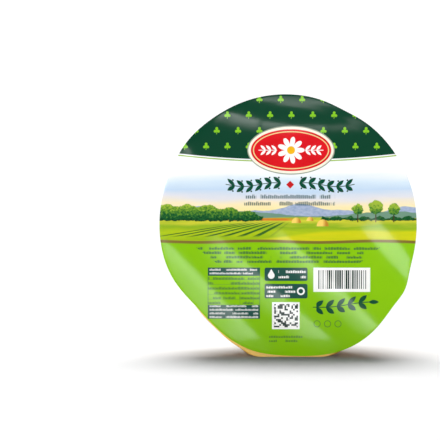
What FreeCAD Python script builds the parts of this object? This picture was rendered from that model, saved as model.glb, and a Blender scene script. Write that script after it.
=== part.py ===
import FreeCAD, Part
import math
import os

# A 500 g lump of butter, vacuum packed: a dome of butter drawn tight in clear film, closed
# by a round printed lid film, with a small oval label near the crown of the dome.
#
# The pack stands on its flank, as it does on a shelf. +Z is up, the printed lid faces -Y
# and the crown of the dome points to +Y. The origin is the middle of the pack's footprint.
#
# While the shapes are worked out, the middle of the lid's inner face is (0, 0, 0). A place
# on the dome is then a direction: its turn is the angle round the lid's axis, from +X
# towards +Z, and its lean is the angle from the lid's plane towards the crown.

doc = FreeCAD.newDocument("ButterPack")
sheet = doc.addObject("Spreadsheet::Sheet", "Sizes")

# Lengths are millimetres and angles are degrees.
SIZES = {
    "LidRadius": 61.6,
    "LidThickness": 0.8,
    "FloorDrop": 63.5,
    "DomeHalfWidth": 58.0,
    "DomeRise": 58.0,
    "DomeDrop": 67.0,
    "DomeLength": 98.0,
    "TopRoundness": 2.1,
    "FootRoundness": 2.8,
    "FlatBlend": 14.0,
    "SagDrop": 3.5,
    "SagReach": 25.0,
    "CrownReach": 79.0,
    "CrownSide": 8.0,
    "LabelHalfWidth": 16.5,
    "LabelHalfHeight": 22.0,
    "LabelThickness": 0.5,
    "LabelTurn": 266.0,
    "LabelLean": 77.0,
    "LabelTilt": -5.0,
}

# Flats pressed into the butter: name, turn, lean, distance of the flat from the lid's middle.
FLATS = [
    ("UpperSlope", 92, 22, 68.0),
    ("UpperShoulder", 80, 52, 82.0),
    ("LeftShoulder", 160, 45, 62.0),
    ("RightShoulder", 22, 42, 71.0),
    ("LowerLeft", 222, 30, 60.4),
    ("LowerRight", 318, 30, 65.0),
    ("FootLeft", 228, 4, 64.4),
    ("FootSlope", 275, 50, 80.0),
    ("Crown", 265, 84, 84.0),
    ("LeftLow", 205, 58, 72.0),
    ("RightLow", 335, 60, 84.0),
]

# Folds in the lump: name, turn and lean of both ends, depth (below zero is a ridge), half width.
FOLDS = [
    ("MainValley", 141, 70, 146, 12, 3.2, 6.5),
    ("UpperHollow", 85, 64, 104, 40, 1.8, 6.0),
    ("MiddleLedge", 232, 62, 206, 30, 1.8, 5.0),
    ("SlantFold", 222, 42, 236, 18, 1.6, 5.5),
    ("LowRidge", 279, 54, 268, 38, -1.2, 4.5),
    ("RightValley", 28, 58, 12, 14, 2.6, 6.5),
    ("RightLedge", 338, 56, 352, 26, 1.8, 5.0),
    ("TopCrease", 62, 46, 70, 16, 1.6, 5.0),
    ("LowerFold", 316, 48, 304, 20, 1.8, 5.5),
]

# Swells and dents of the lid's edge: name, turn of its middle, height, half width in degrees.
RIM_WAVES = [
    ("TopSwell", 104, 1.2, 36),
    ("UpperRightFlat", 64, -0.8, 10),
    ("UpperLeftSwell", 140, 0.7, 12),
    ("LowerLeftFlat", 223, -2.7, 16),
    ("FootSwell", 256, 1.0, 12),
    ("LowerRightSwell", 300, 4.3, 24),
    ("RightCorner", 331, 1.6, 7),
]

FOLD_SCALE = 60.0
SECTION_COUNT = 19
SECTION_TOP_LEAN = 80.0
RING_POINTS = 72
RIM_POINTS = 120
HALVINGS = 26
MESH_STEP = 0.1
TINY = 1e-6
LABEL_SPREAD = 8.0


def fill_sheet():
    """Write every size to the sheet, one row each, with its alias."""
    rows = list(SIZES.items())
    for name, turn, lean, out in FLATS:
        rows += [(name + "Turn", turn), (name + "Lean", lean), (name + "Out", out)]
    for name, turn_a, lean_a, turn_b, lean_b, depth, width in FOLDS:
        rows += [(name + "TurnA", turn_a), (name + "LeanA", lean_a), (name + "TurnB", turn_b),
                 (name + "LeanB", lean_b), (name + "Depth", depth), (name + "Width", width)]
    for name, turn, height, width in RIM_WAVES:
        rows += [(name + "Turn", turn), (name + "Height", height), (name + "Width", width)]
    for row, (alias, value) in enumerate(rows, start=1):
        sheet.set(f"A{row}", alias)
        sheet.set(f"B{row}", str(value))
        sheet.setAlias(f"B{row}", alias)
    doc.recompute()


def size(alias):
    """One number from the sheet."""
    return float(sheet.get(alias))


def direction(turn, lean):
    """The unit vector of a turn and a lean."""
    turn = math.radians(turn)
    lean = math.radians(lean)
    return FreeCAD.Vector(math.cos(turn) * math.cos(lean), math.sin(lean), math.sin(turn) * math.cos(lean))


def read_flats():
    """Each flat as its outward direction and its distance."""
    flats = []
    for name, *_ in FLATS:
        flats.append((direction(size(name + "Turn"), size(name + "Lean")), size(name + "Out")))
    return flats


def read_folds():
    """Each fold as its two end directions, its depth and its half width."""
    folds = []
    for name, *_ in FOLDS:
        end_a = direction(size(name + "TurnA"), size(name + "LeanA"))
        end_b = direction(size(name + "TurnB"), size(name + "LeanB"))
        folds.append((end_a, end_b, size(name + "Depth"), size(name + "Width")))
    return folds


def distance_to_fold(way, end_a, end_b):
    """The angle, in radians, between a direction and the nearest part of a fold's line."""
    span = end_b - end_a
    share = (way - end_a).dot(span) / span.dot(span)
    nearest = end_a + span * min(max(share, 0.0), 1.0)
    return way.getAngle(nearest)


def dome_radius(way, flats, folds):
    """How far the dome's skin is from the lid's middle along a unit vector.

    An egg shape, deeper and squarer below than above, is cut by the flats with rounded
    meetings: each surface gives its own reciprocal distance, and these add up as a power
    mean. The folds are then taken off as smooth valleys.
    """
    rise = size_of["DomeRise"] if way.z > 0 else size_of["DomeDrop"]
    round_power = size_of["TopRoundness"]
    round_power += (size_of["FootRoundness"] - size_of["TopRoundness"]) * max(-way.z, 0.0) ** 2
    blend = size_of["FlatBlend"]
    ring = (way.x / size_of["DomeHalfWidth"]) ** 2 + (way.z / rise) ** 2
    egg = (ring ** (round_power / 2) + abs(way.y / size_of["DomeLength"]) ** round_power) ** (1 / round_power)
    total = egg ** blend
    for outward, distance in flats:
        total += (max(way.dot(outward), 0.0) / distance) ** blend
    radius = total ** (-1 / blend)
    for end_a, end_b, depth, width in folds:
        away = distance_to_fold(way, end_a, end_b) * FOLD_SCALE
        radius -= depth * math.exp(-((away / width) ** 2))
    return radius


def sag(reach):
    """How far the butter has sagged at a distance behind the lid: a quarter sine, then level."""
    return size_of["SagDrop"] * math.sin(min(reach / size_of["SagReach"], 1.0) * math.pi / 2)


def ring_point(turn, reach, skin, flats, folds):
    """The dome's surface point at one turn and one distance from the lid, found by halving.

    The turn is taken round a spine that bends sideways from the lid's middle to the crown.
    Behind the lid the butter sags, which carries the whole ring downwards.
    """
    spine = FreeCAD.Vector(size_of["CrownSide"] * (reach / size_of["CrownReach"]) ** 2, reach, 0)
    outward = direction(turn, 0)
    inner = 0.0
    outer = 1.4 * size_of["DomeDrop"]
    for _ in range(HALVINGS):
        middle = (inner + outer) / 2
        point = spine + outward * middle
        length = max(point.Length, TINY)
        if length < dome_radius(point / length, flats, folds) + skin:
            inner = middle
        else:
            outer = middle
    return spine + outward * inner - FreeCAD.Vector(0, 0, sag(reach))


def closed_wire(points):
    """A smooth closed curve through points, as a wire."""
    curve = Part.BSplineCurve()
    curve.interpolate(points, PeriodicFlag=True)
    return Part.Wire([curve.toShape()])


def add_dome_loft(label, skin):
    """A solid lofted through rings of the dome, each parallel to the lid.

    The skin is how far the loft stands outside the butter.
    """
    flats = read_flats()
    folds = read_folds()
    sections = []
    for index in range(SECTION_COUNT):
        lean = math.radians(SECTION_TOP_LEAN * index / (SECTION_COUNT - 1))
        share = math.sin(lean) / math.sin(math.radians(SECTION_TOP_LEAN))
        reach = (size_of["CrownReach"] + skin) * share
        turns = [360 * step / RING_POINTS for step in range(RING_POINTS)]
        ring = doc.addObject("Part::Feature", f"{label}_ring_{index}")
        ring.Shape = closed_wire([ring_point(turn, reach, skin, flats, folds) for turn in turns])
        sections.append(ring)
    loft = doc.addObject("Part::Loft", label)
    loft.Sections = sections
    loft.Solid = True
    loft.Ruled = False
    return loft


def add_filled_dome(loft):
    """The butter in its film: the lofted dome, levelled where it stands."""
    floor = doc.addObject("Part::Box", "below_floor")
    floor.setExpression("Length", "4 * Sizes.DomeHalfWidth")
    floor.setExpression("Width", "4 * Sizes.DomeHalfWidth")
    floor.setExpression("Height", "Sizes.DomeHalfWidth")
    floor.setExpression("Placement.Base.x", "-2 * Sizes.DomeHalfWidth")
    floor.setExpression("Placement.Base.y", "-Sizes.DomeHalfWidth")
    floor.setExpression("Placement.Base.z", "-Sizes.FloorDrop - Sizes.DomeHalfWidth")
    dome = doc.addObject("Part::Cut", "filled_dome")
    dome.Base = loft
    dome.Tool = floor
    dome.Label = "filled_dome"
    return dome


def rim_radius(turn):
    """The lid's radius at a turn: a circle with the named swells and dents added."""
    radius = size("LidRadius")
    for name, *_ in RIM_WAVES:
        apart = (turn - size(name + "Turn") + 180) % 360 - 180
        radius += size(name + "Height") * math.exp(-((apart / size(name + "Width")) ** 2))
    return radius


def add_printed_lid():
    """The round lid film, with the flange that the clear film is sealed to."""
    points = []
    for step in range(RIM_POINTS):
        turn = 360 * step / RIM_POINTS
        points.append(direction(turn, 0) * rim_radius(turn))
    outline = doc.addObject("Part::Feature", "lid_outline")
    outline.Shape = closed_wire(points)
    lid = doc.addObject("Part::Extrusion", "printed_lid")
    lid.Base = outline
    lid.DirMode = "Custom"
    lid.Dir = FreeCAD.Vector(0, -1, 0)
    lid.Solid = True
    lid.setExpression("LengthFwd", "Sizes.LidThickness")
    lid.Label = "printed_lid"
    return lid


def add_oval_label(loft):
    """The oval label: the part of a slightly larger dome that lies in an oval, less the dome."""
    flats = read_flats()
    folds = read_folds()
    way = direction(size("LabelTurn"), size("LabelLean"))
    middle = way * dome_radius(way, flats, folds)
    middle.z -= sag(middle.y)
    side = direction(size("LabelTurn") + 90, 0)
    over = way.cross(side)
    spread = math.radians(LABEL_SPREAD)
    beside = []
    for step in (side, over):
        near = (way * math.cos(spread) - step * math.sin(spread)).normalize()
        far = (way * math.cos(spread) + step * math.sin(spread)).normalize()
        beside.append(far * dome_radius(far, flats, folds) - near * dome_radius(near, flats, folds))
    outward = beside[0].cross(beside[1]).normalize()
    if outward.dot(way) < 0:
        outward = outward * -1
    across = FreeCAD.Vector(0, 0, 1).cross(outward).normalize()
    upward = outward.cross(across)
    tilt = math.radians(size("LabelTilt"))
    tall = upward * math.cos(tilt) + across * math.sin(tilt)
    start = middle - outward * size("LabelHalfHeight")
    oval = Part.Ellipse(
        start + tall * size("LabelHalfHeight"),
        start + tall.cross(outward) * size("LabelHalfWidth"),
        start,
    )
    outline = doc.addObject("Part::Feature", "label_outline")
    outline.Shape = Part.Wire([oval.toShape()])
    prism = doc.addObject("Part::Extrusion", "label_prism")
    prism.Base = outline
    prism.DirMode = "Custom"
    prism.Dir = outward
    prism.Solid = True
    prism.setExpression("LengthFwd", "2 * Sizes.LabelHalfHeight")
    stock = add_dome_loft("label_stock", size("LabelThickness"))
    patch = doc.addObject("Part::Common", "label_patch")
    patch.Base = stock
    patch.Tool = prism
    label = doc.addObject("Part::Cut", "oval_label")
    label.Base = patch
    label.Tool = loft
    label.Label = "oval_label"
    return label


def stand_on_floor(parts):
    """Place the parts together, so that the origin is the middle of the pack's footprint."""
    for part in parts:
        part.setExpression("Placement.Base.y", "(Sizes.LidThickness - Sizes.CrownReach - Sizes.LabelThickness) / 2")
        part.setExpression("Placement.Base.z", "Sizes.FloorDrop")


def mesh_box(shape):
    """The lowest and highest corner of a shape's mesh, in millimetres."""
    corners = shape.tessellate(MESH_STEP)[0]
    low = [round(min(corner[axis] for corner in corners), 2) for axis in range(3)]
    high = [round(max(corner[axis] for corner in corners), 2) for axis in range(3)]
    return low, high


def check(parts):
    """Stop if any object failed, or any part isn't one valid solid."""
    for item in doc.Objects:
        if "Invalid" in item.State or "Error" in item.State:
            raise RuntimeError(f"{item.Name} failed: {item.State}")
    for part in parts:
        if part.Shape.isNull() or not part.Shape.isValid() or len(part.Shape.Solids) != 1:
            raise RuntimeError(f"{part.Label} is not one valid solid")


fill_sheet()
size_of = {name: size(name) for name in SIZES}
dome_loft = add_dome_loft("dome_loft", 0.0)
filled_dome = add_filled_dome(dome_loft)
printed_lid = add_printed_lid()
oval_label = add_oval_label(dome_loft)
PARTS = [filled_dome, printed_lid, oval_label]
doc.recompute()
stand_on_floor(PARTS)
doc.recompute()
check(PARTS)

os.makedirs("parts", exist_ok=True)
for part in PARTS:
    part.Shape.exportStep(f"parts/{part.Label}.step")
    print(part.Label, "volume", round(part.Shape.Volume / 1000, 2), "cm3, mesh box", mesh_box(part.Shape))
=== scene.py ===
"""Butter lump vacuum packed in clear film, with a printed lid film and an oval label.

Shapes are worked out in millimetres in the lid frame: the origin is the middle of the lid film's inner
face, +Y goes from there to the crown of the lump and +Z is up. place() moves them to the row frame.
"""
import math

import bpy
import numpy as np
from bpy.props import FloatProperty, FloatVectorProperty, IntProperty, PointerProperty
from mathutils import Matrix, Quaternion, Vector


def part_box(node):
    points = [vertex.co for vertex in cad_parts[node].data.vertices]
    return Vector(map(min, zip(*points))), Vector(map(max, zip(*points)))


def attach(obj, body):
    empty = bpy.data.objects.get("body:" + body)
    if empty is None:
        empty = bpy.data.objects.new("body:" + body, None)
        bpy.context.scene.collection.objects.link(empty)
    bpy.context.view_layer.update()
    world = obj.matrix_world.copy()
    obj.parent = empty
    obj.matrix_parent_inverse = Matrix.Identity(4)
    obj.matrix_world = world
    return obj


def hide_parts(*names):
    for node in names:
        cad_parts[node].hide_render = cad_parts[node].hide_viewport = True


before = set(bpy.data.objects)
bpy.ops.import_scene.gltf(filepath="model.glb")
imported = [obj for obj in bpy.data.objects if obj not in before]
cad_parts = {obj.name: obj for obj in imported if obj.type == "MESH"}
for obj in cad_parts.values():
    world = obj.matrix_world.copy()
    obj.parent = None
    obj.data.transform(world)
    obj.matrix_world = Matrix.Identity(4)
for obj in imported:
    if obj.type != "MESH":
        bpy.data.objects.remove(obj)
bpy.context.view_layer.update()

bl_info = {
    "name": "Butter Lump Pack",
    "version": (1, 0, 0),
    "blender": (4, 5, 0),
    "location": "View3D > Sidebar > Butter Pack",
    "description": "Builds a vacuum-packed butter lump with a printed lid film",
    "category": "Add Mesh",
}

MM = 0.001
LID_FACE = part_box("printed_lid")[1][1] / MM
# Height of the lid's middle over the floor.
AXIS_HEIGHT = 63.5
# Gap of the butter to the lid film and to the floor.
FACE_GAP = 0.12
# Millimetres over the skin for each radian of direction.
FOLD_SCALE = 60.0
SKIN_TURNS = np.linspace(0, 360, 420, endpoint=False)

# Planes that flatten the lump: turn and lean of each one's direction, and its distance from the middle.
FLATS = (
    (92, 22, 68.0), (80, 52, 82.0), (160, 45, 62.0), (22, 42, 71.0), (222, 30, 60.4), (318, 30, 65.0),
    (228, 4, 64.4), (275, 50, 80.0), (265, 84, 83.3), (205, 58, 72.0), (335, 60, 84.0),
)
# Broad folds: turn and lean of both ends, depth and width.
FOLDS = (
    (141, 70, 146, 12, 3.2, 6.5), (85, 64, 104, 40, 1.8, 6.0), (232, 62, 206, 30, 1.8, 5.0),
    (222, 42, 236, 18, 1.6, 5.5), (279, 54, 268, 38, -1.2, 4.5), (28, 58, 12, 14, 2.6, 6.5),
    (338, 56, 352, 26, 1.8, 5.0), (62, 46, 70, 16, 1.6, 5.0), (316, 48, 304, 20, 1.8, 5.5),
)
# Waves of the lid's rim: turn of the middle, height, and width in degrees.
RIM_WAVES = (
    (104, 1.2, 36), (64, -0.8, 10), (140, 0.7, 12), (223, -2.7, 16), (256, 1.0, 12), (300, 4.3, 24),
    (331, 1.6, 7),
)
# Ledges where one fold of butter lies on the next: turn and lean of both ends, depth, width of the
# hollow, height of the lip and strength of the painted shade that colours the hollow deeper. The hollow
# is on the left of the line from the first end to the second, seen from outside.
LEDGES = (
    (141, 73, 146, 18, 2.4, 10.0, 1.1, 1.0),
    (134, 72, 186, 79, 1.2, 4.0, 0.5, 0.9),
    (104, 38, 84, 66, 1.2, 7.0, 0.4, 0.55),
    (208, 37, 234, 66, 0.9, 8.0, 0.3, 0.45),
    (222, 47, 234, 24, 1.1, 9.0, 0.5, 0.6),
    (96, 4, 118, 16, 1.2, 5.0, 0.4, 0.7),
    (268, 30, 279, 54, 0.8, 6.0, 0.3, 0.35),
    (12, 12, 28, 60, 1.8, 9.0, 0.9, 0.9),
    (352, 24, 336, 58, 1.0, 6.0, 0.5, 0.6),
    (60, 18, 66, 50, 1.0, 7.0, 0.4, 0.5),
    (304, 16, 318, 50, 1.1, 7.0, 0.5, 0.6),
    (178, 14, 172, 40, 0.8, 6.0, 0.3, 0.4),
    (40, 66, 100, 76, 0.8, 5.0, 0.3, 0.4),
)
# Patches where the film stands off the butter and looks milky: turn, lean, size and strength.
HAZES = (
    (116, 48, 11.0, 0.75), (104, 56, 9.0, 0.55), (126, 36, 8.0, 0.5), (96, 14, 8.0, 0.55),
    (132, 24, 6.0, 0.2), (150, 34, 7.0, 0.5), (168, 62, 6.0, 0.45), (186, 72, 6.0, 0.4),
    (198, 50, 7.0, 0.35), (24, 46, 10.0, 0.6), (40, 30, 8.0, 0.5), (344, 40, 8.0, 0.5),
    (60, 60, 9.0, 0.5), (310, 34, 8.0, 0.4), (75, 30, 8.0, 0.5), (250, 20, 7.0, 0.3),
)
# Pinched creases of the film: turn, lean, bearing in degrees, length and width.
PINCHES = (
    (178, 78, 84, 10.0, 1.8), (181, 66, 86, 5.0, 1.4), (160, 72, 64, 8.0, 1.4), (186, 58, 100, 7.0, 1.3),
    (150, 60, 72, 10.0, 1.8), (139, 47, 80, 7.0, 1.8), (131, 36, 40, 9.0, 0.9), (106, 18, 62, 6.5, 1.0),
    (117, 30, 24, 9.0, 1.3), (101, 41, 30, 6.0, 0.9), (203, 44, 76, 4.0, 0.8), (122, 62, 20, 9.0, 1.2),
    (108, 70, 36, 6.0, 1.0), (90, 12, 96, 8.0, 0.9), (128, 52, 12, 12.0, 0.8), (146, 38, 30, 7.0, 0.9),
    (84, 34, 60, 8.0, 1.2), (60, 24, 100, 7.0, 1.0), (34, 40, 70, 9.0, 1.4), (12, 30, 84, 8.0, 1.1),
    (350, 52, 60, 7.0, 1.0), (20, 62, 40, 8.0, 1.2), (326, 30, 96, 8.0, 1.2), (300, 26, 110, 6.0, 0.9),
)
# Direction along which the milky streaks are drawn out.
DRAWN = (-0.66, -0.66, 0.36)
# Front and edge of the film's flange: share of the rim's radius, and depth.
FLANGE_FRONT = ((0.02, -0.18), (0.6, -0.18), (0.97, -0.18), (1.0, -0.1), (1.0, 0.06))
# Oval label: turn and lean of its middle, its tilt from upright and its half sizes.
LABEL_TURN, LABEL_LEAN, LABEL_TILT = 266.0, 77.0, -5.0
LABEL_HALF_WIDTH, LABEL_HALF_HEIGHT = 16.5, 22.0
CAMERA_DISTANCE, CAMERA_TILT = 1.8, math.radians(3.5)
# Width of the view at the lid, and where the camera aims, to the side of the lid's middle and above it.
VIEW_WIDTH, VIEW_SIDE, VIEW_RISE = 210.76, -32.572, 2.395
# Distant lights: name, strength, spread in degrees, direction and bounces.
SUNS = (
    ("top_light", 3.2, 46, (0.03, -0.48, -1.0), 1),
    ("front_light", 1.8, 14, (0.35, 1.0, -0.01), 0),
    ("back_light", 0.62, 60, (0.6, -1.0, -0.03), 0),
    ("table_light", 0.6, 80, (0.2, -0.6, 1.0), 0),
)
# Strips of light seen only as gloss on the lid: middle, lean from upright, width and length where each
# shows on the lid, in millimetres and degrees, brightness, and the side towards which it fades: -1 is
# left of its upper end, 1 is right and 0 is neither.
SHEENS = (
    (-37.5, -38.5, 43.5, 13.0, 84.0, 33.0, -1),
    (-7.5, -38.5, 48.0, 14.0, 90.0, 33.0, -1),
    (22.0, -34.5, 46.0, 12.0, 86.0, 36.0, -1),
    (52.5, -14.5, 42.0, 9.0, 48.0, 27.0, 0),
    (-24.5, 49.6, 78.0, 6.4, 25.0, 46.0, -1),
    (-7.0, 46.4, 83.0, 5.2, 21.0, 36.0, -1),
    (9.0, 45.4, 90.0, 4.6, 22.0, 28.0, -1),
    (27.0, 46.2, 93.0, 3.8, 24.0, 16.0, -1),
    (5.0, 59.5, 83.0, 6.0, 46.0, 30.0, 1),
    (-50.0, 34.5, 41.0, 6.0, 18.0, 34.0, -1),
)


def paint(red, green, blue):
    """Linear colour, with alpha, of a display colour given from 0 to 255."""
    linear = [c / 255 / 12.92 if c / 255 <= 0.04045 else ((c / 255 + 0.055) / 1.055) ** 2.4
              for c in (red, green, blue)]
    return (*linear, 1.0)


# ---------------------------------------------------------------- shapes


def heading(turn, lean):
    """Unit directions from the lid's middle: turn goes round the lid's axis from +X towards +Z, and
    lean from the lid's plane towards the crown, both in degrees."""
    turn, lean = np.broadcast_arrays(np.radians(turn), np.radians(lean))
    return np.stack([np.cos(turn) * np.cos(lean), np.sin(lean), np.sin(turn) * np.cos(lean)], axis=-1)


def smooth(x):
    """0 below 0, 1 above 1, and 3x^2 - 2x^3 between."""
    x = np.clip(x, 0.0, 1.0)
    return x * x * (3 - 2 * x)


def ripple(way, seed, count, low, high):
    """Sum of count sine waves over the directions, with wave numbers between low and high, spread
    about 0 with a size of about 1."""
    rng = np.random.default_rng(seed)
    axes = rng.normal(size=(count, 3))
    axes /= np.linalg.norm(axes, axis=1, keepdims=True)
    axes *= rng.uniform(low, high, size=(count, 1))
    phases = rng.uniform(0, 2 * np.pi, size=count)
    return np.sin(way @ axes.T + phases).sum(axis=-1) / math.sqrt(count / 2)


def fold_span(way, turn_a, lean_a, turn_b, lean_b):
    """For each direction, the signed distance across the great circle of a fold from its first end to
    its second, the fraction along the fold, and the distance from the fold's nearest point."""
    first, second = heading(turn_a, lean_a), heading(turn_b, lean_b)
    across = np.cross(first, second)
    across /= np.linalg.norm(across)
    chord = second - first
    along = (way - first) @ chord / (chord @ chord)
    nearest = first + np.clip(along, 0.0, 1.0)[..., None] * chord
    nearest = nearest / np.linalg.norm(nearest, axis=-1, keepdims=True)
    apart = FOLD_SCALE * np.arccos(np.clip((way * nearest).sum(axis=-1), -1.0, 1.0))
    return FOLD_SCALE * way @ across, along, apart


def broad_reach(way, pack):
    """Distance from the lid's middle to the lump: a rounded half egg, narrower upwards than down,
    blended with the flats as the -1/14 power of a sum of 14th powers, less a Gauss-shaped valley along
    each broad fold."""
    x, y, z = way[..., 0], way[..., 1], way[..., 2]
    rise = np.where(z > 0, pack.lump_rise / MM, pack.lump_drop / MM)
    power = 2.1 + 0.7 * np.maximum(-z, 0.0) ** 2
    ring = (x / (pack.lump_half_width / MM)) ** 2 + (z / rise) ** 2
    egg = (ring ** (power / 2) + np.abs(y / (pack.lump_length / MM)) ** power) ** (1 / power)
    total = egg ** 14
    for turn, lean, distance in FLATS:
        total = total + (np.maximum(way @ heading(turn, lean), 0.0) / distance) ** 14
    reach = total ** (-1 / 14)
    for *ends, depth, width in FOLDS:
        apart = fold_span(way, *ends)[2]
        reach = reach - depth * np.exp(-((apart / width) ** 2))
    return reach


def ledge_relief(way):
    """Depth of the ledges and the painted shade in their hollows: across a ledge's line the depth climbs at
    once to its full value, then fades as exp(-distance / width), and a low lip stands on the other side."""
    depths, hollow_shades = np.zeros(way.shape[:-1]), np.zeros(way.shape[:-1])
    for number, (*ends, depth, width, lip, tint) in enumerate(LEDGES):
        side, along, _ = fold_span(way, *ends)
        side = side + 1.5 * np.sin(6 * along + 2.1 * number) + 0.18 * np.sin(19 * along + number)
        middle = heading((ends[0] + ends[2]) / 2, (ends[1] + ends[3]) / 2)
        window = smooth(along / 0.22 + 0.3) * smooth((1 - along) / 0.22 + 0.3) * smooth(way @ middle * 2)
        hollow = smooth(side / 1.1 + 0.5) * np.exp(-np.maximum(side, 0) / width)
        crest = smooth(-side / 0.8 + 0.4) * np.exp(-((np.minimum(side, 0) / 3.0) ** 2))
        # Painted shade: the hollow below each ledge gets a deeper ochre colour that fades away from the
        # line.
        shade = smooth(side / 0.9 + 0.5) * np.exp(-(np.maximum(side, 0) / (1.2 * width)) ** 1.4)
        depths += window * (depth * hollow - lip * crest)
        hollow_shades += window * tint * shade
    return depths, hollow_shades


def facet_cut(way, reach, seed, count, bite):
    """How far small flats cut into the lump: each is a plane across a random direction, bite
    millimetres inside the surface there, joined by a smooth minimum. Also the shade of the flat that
    cuts deepest, from 0 to 1."""
    rng = np.random.default_rng(seed)
    turns, leans = rng.uniform(0, 360, count), np.degrees(np.arcsin(rng.uniform(0.05, 0.99, count)))
    cut, shade = reach, np.zeros_like(reach)
    for turn, lean, share, tone in zip(turns, leans, rng.uniform(0.5, 1.0, count),
                                       rng.uniform(-0.35, 1.0, count)):
        aim = heading(turn, lean)
        nearest = np.argmax(way.reshape(-1, 3) @ aim)
        limit = (reach.reshape(-1)[nearest] - bite * share) / np.maximum(way @ aim, 0.3)
        blend = np.clip(0.5 + (cut - limit) / 1.6, 0.0, 1.0)
        cut = cut * (1 - blend) + limit * blend - 0.8 * blend * (1 - blend)
        shade = shade * (1 - blend) + max(tone, 0.0) * blend
    return np.maximum(reach - cut, 0.0), shade


def small_creases(way, seed, count):
    """Short V-shaped creases at random places: depth falls off as a Gauss bell along each and as
    exp(-|distance| / width) across."""
    rng = np.random.default_rng(seed)
    total = np.zeros(way.shape[:-1])
    for _ in range(count):
        middle = heading(rng.uniform(0, 360), rng.uniform(4, 78))
        aside = np.cross(middle, rng.normal(size=3))
        aside /= np.linalg.norm(aside)
        forward = np.cross(middle, aside)
        length, width, depth = rng.uniform(4, 13), rng.uniform(0.8, 1.6), rng.uniform(0.15, 0.5)
        along, across = FOLD_SCALE * way @ forward, FOLD_SCALE * way @ aside
        bend = across + 0.02 * along ** 2 * rng.uniform(-1, 1)
        total = total + depth * np.exp(-(along / length) ** 2 - np.abs(bend) / width) * (way @ middle > 0)
    return total


def label_calm(way):
    """0 within 19 mm of the oval label's middle, where the surface stays even, and 1 past 31 mm."""
    away = FOLD_SCALE * np.linalg.norm(way - heading(LABEL_TURN, LABEL_LEAN), axis=-1)
    return smooth((away - 19.0) / 12.0)


def lump_layers(way, pack):
    """Broad reach, depth of the fine relief, and painted shade in the ledges' hollows plus a random tone for
    each small flat, for each direction. Small flats fade out at the foot of the lid."""
    reach = broad_reach(way, pack)
    ledges, tint = ledge_relief(way)
    calm = label_calm(way)
    facets, shade = facet_cut(way, reach, seed=11, count=60, bite=1.2)
    edge = smooth((np.degrees(np.arcsin(np.clip(way[..., 1], -1, 1))) - 10) / 16)
    foot = 1 - (1 - edge) * smooth((-way[..., 2] - 0.3) * 4)
    relief = calm * (ledges + small_creases(way, seed=5, count=60)) + (0.3 + 0.7 * calm) * foot * facets
    relief = relief + 0.16 * calm * ripple(way, seed=3, count=30, low=14, high=40)
    # The last value is painted shade in the ledges' hollows plus a random tone for each small flat.
    return reach, relief, calm * (tint + 0.34 * shade)


def milky_share(way):
    """Strength of the film's milky patches: each is a ragged spot drawn out along the grain, which
    fades smoothly from its middle to its size."""
    grain = heading(152, 20)
    share = np.zeros(way.shape[:-1])
    for turn, lean, size, strength in HAZES:
        apart = way - heading(turn, lean)
        apart = apart - 0.62 * (apart @ grain)[..., None] * grain
        ragged = 1 + 0.22 * ripple(way, seed=turn, count=8, low=4, high=11)
        away = FOLD_SCALE * np.linalg.norm(apart, axis=-1) * ragged
        share = np.maximum(share, strength * smooth(1.15 - away / size))
    return share * label_calm(way)


def film_reach(way, pack):
    """Distance from the lid's middle to the film: it bridges hollows by 0.28 of their depth, follows
    what stands out, and keeps the film gap."""
    reach, relief, _ = lump_layers(way, pack)
    return reach - 0.72 * np.maximum(relief, 0.0) - np.minimum(relief, 0.0) + pack.film_gap / MM


def settle(points, lift=0.0):
    """Sags the shape as a quarter sine wave of its distance from the lid, to 3.5 mm at 25 mm and
    beyond, then rests it on the floor, where a height below it is raised to it through a short
    parabola."""
    settled = points.copy()
    settled[..., 2] -= 3.5 * np.sin(np.clip(settled[..., 1] / 25.0, 0, 1) * np.pi / 2)
    floor, round_off = -AXIS_HEIGHT + lift, 1.2
    over = settled[..., 2] - floor
    eased = (over + round_off) ** 2 / (4 * round_off)
    over = np.where(over < -round_off, 0.0, np.where(over < round_off, eased, over))
    settled[..., 2] = floor + over
    return settled


def rim_radius(turn, pack):
    """Radius of the lid film: the mean radius and a Gauss bell for each wave of the rim."""
    radius = np.full(np.shape(turn), pack.lid_radius / MM)
    for middle, height, width in RIM_WAVES:
        away = (turn - middle + 180) % 360 - 180
        radius = radius + height * np.exp(-((away / width) ** 2))
    return radius


def skin_ways(lean, count):
    """Directions of count rings of the lump's skin, from a lean up to the crown."""
    return heading(SKIN_TURNS, np.linspace(lean, 88.5, count)[:, None])


def place(points):
    """Lid frame in millimetres to row frame in metres."""
    return (points + np.array([0.0, LID_FACE, AXIS_HEIGHT])) * MM


# ---------------------------------------------------------------- meshes


def ring_quads(count, around):
    """Corners of the four-sided faces between rings that have the same number of points."""
    step = np.arange(around)
    following = (step + 1) % around
    rows = np.arange(count - 1)[:, None] * around
    return np.stack([rows + step, rows + following, rows + around + following, rows + around + step],
                    axis=-1).reshape(-1, 4)


def with_poles(rings):
    """A row for each point of the rings, then the means of the first ring and of the last."""
    return np.concatenate([rings.reshape(-1, rings.shape[-1]), rings[:1].mean(axis=1),
                           rings[-1:].mean(axis=1)])


def new_piece(name, points, faces, crease_angle, attributes=()):
    """Adds a mesh object that is smooth but where faces meet at more than the angle. Attributes are
    (title, values) with a row of one number, or of three, for each point."""
    mesh = bpy.data.meshes.new(name)
    mesh.from_pydata(points.tolist(), [], faces)
    mesh.polygons.foreach_set("use_smooth", np.ones(len(faces), dtype=bool))
    mesh.set_sharp_from_angle(angle=math.radians(crease_angle))
    for title, values in attributes:
        kind, field = ("FLOAT_VECTOR", "vector") if values.shape[1] == 3 else ("FLOAT", "value")
        mesh.attributes.new(title, kind, "POINT").data.foreach_set(field, values.ravel())
    mesh.validate()
    mesh.update()
    piece = bpy.data.objects.new(name, mesh)
    bpy.context.scene.collection.objects.link(piece)
    return piece


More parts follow.
